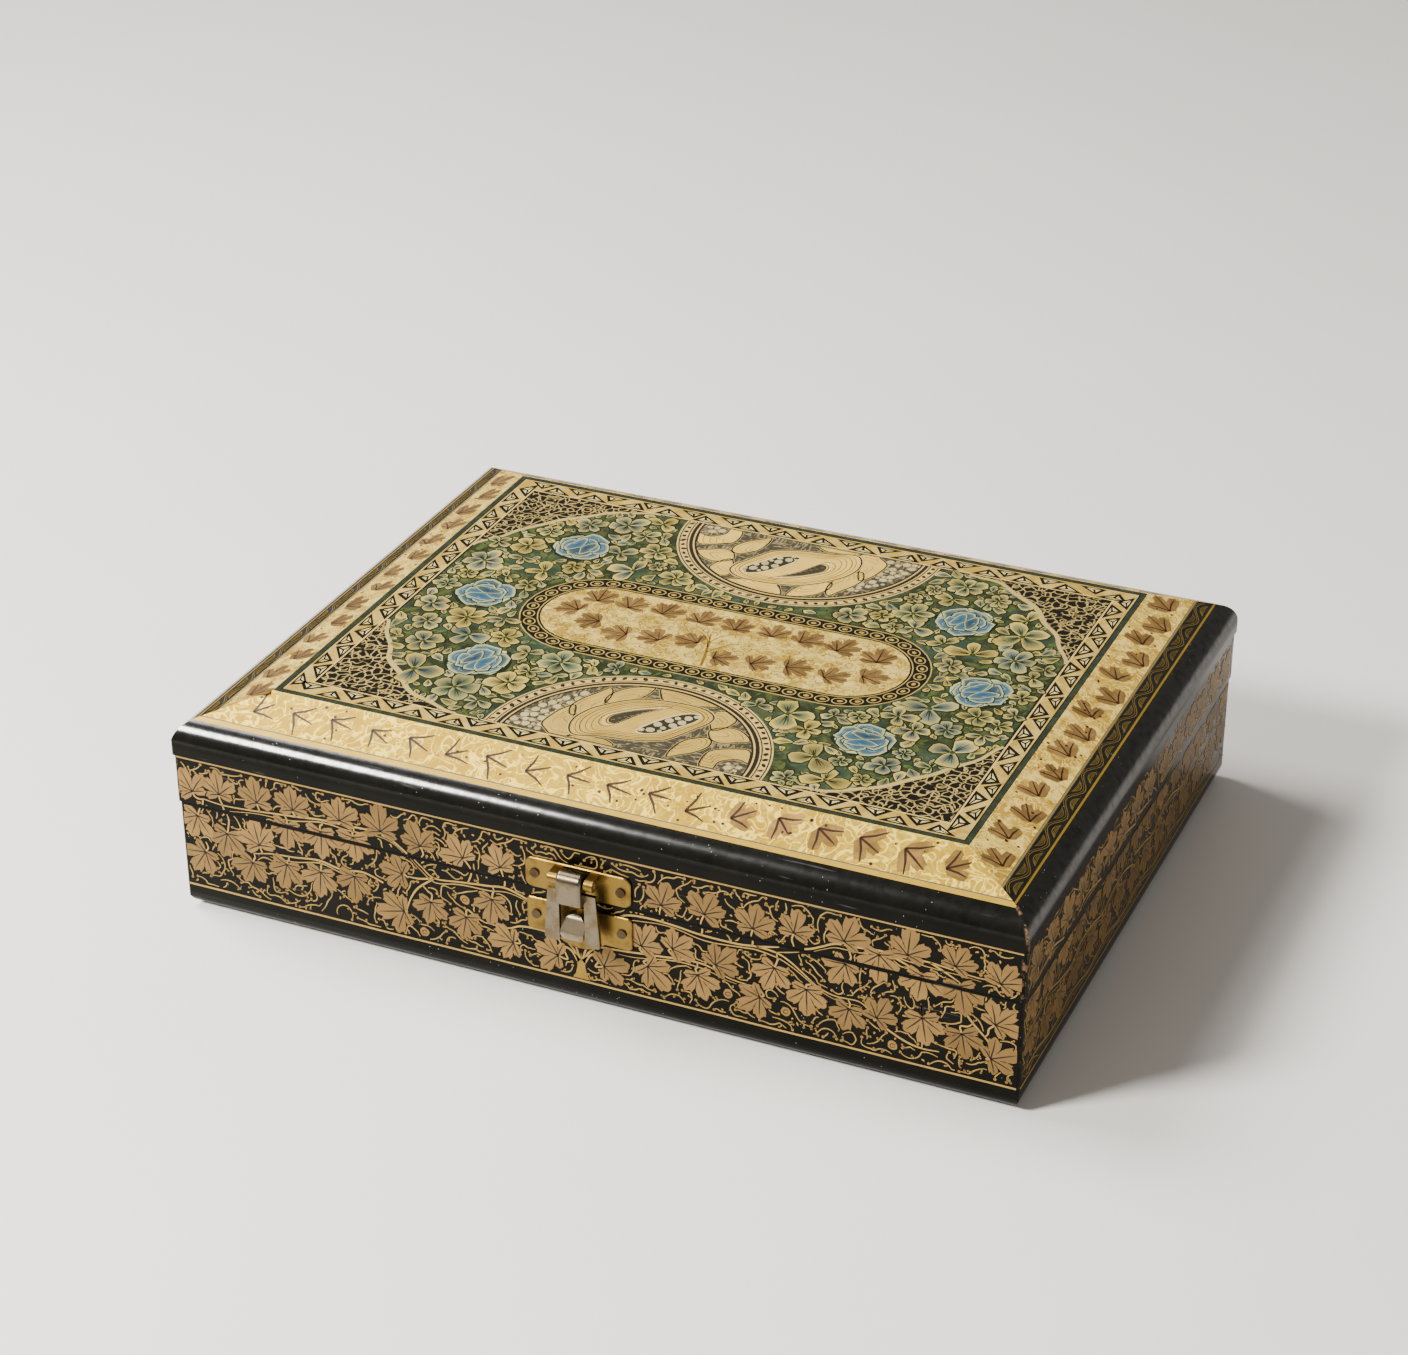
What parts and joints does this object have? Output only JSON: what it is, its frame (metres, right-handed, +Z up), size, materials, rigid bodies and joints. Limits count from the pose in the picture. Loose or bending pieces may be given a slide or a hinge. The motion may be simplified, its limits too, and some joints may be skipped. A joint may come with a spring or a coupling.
{
  "type": "keepsake box",
  "caption": "Low lacquered wooden keepsake box with a hinged lid, a raised hipped top, and a brass and nickel fork latch on the front, for papers and keepsakes.",
  "frame": {"origin": "middle of the flat underside that the box stands on, in line with the middle of the lid", "axes": "+Z up, the front with the latch faces -Y, +X to the right seen from the front"},
  "size_m": [0.25, 0.1968, 0.0654],
  "materials": {
    "black_lacquer": "gloss",
    "painted_top": "gloss",
    "brass": "satin",
    "nickel": "polished",
    "steel": "satin",
    "nail_steel": "dull"
  },
  "bodies": {
    "tray": {"bottom_board": "black_lacquer", "tray_front_board": "black_lacquer", "tray_back_board": "black_lacquer", "tray_left_board": "black_lacquer", "tray_right_board": "black_lacquer", "left_hinge_tray_leaf": "brass", "right_hinge_tray_leaf": "brass", "left_hinge_pin": "steel", "right_hinge_pin": "steel", "hinge_tray_screws": "brass", "latch_tray_plate": "brass", "latch_stud": "nickel", "latch_tray_nails": "nail_steel"},
    "lid": {"lid_top_board": "painted_top", "lid_front_board": "black_lacquer", "lid_back_board": "black_lacquer", "lid_left_board": "black_lacquer", "lid_right_board": "black_lacquer", "left_hinge_lid_leaf": "brass", "right_hinge_lid_leaf": "brass", "hinge_lid_screws": "brass", "latch_lid_plate": "brass", "latch_pivot_pin": "steel", "latch_lid_nails": "nail_steel"},
    "fork": {"latch_fork": "nickel"}
  },
  "joints": [
    {"name": "lid_hinge", "type": "hinge", "parent": "tray", "child": "lid", "pos_m": [0, 0.0933, 0.0342], "axis": [-1, 0, 0], "range_deg": [0, 105]},
    {"name": "fork_swing", "type": "hinge", "parent": "lid", "child": "fork", "pos_m": [0, -0.0986, 0.0416], "axis": [-1, 0, 0], "range_deg": [0, 165]}
  ]
}
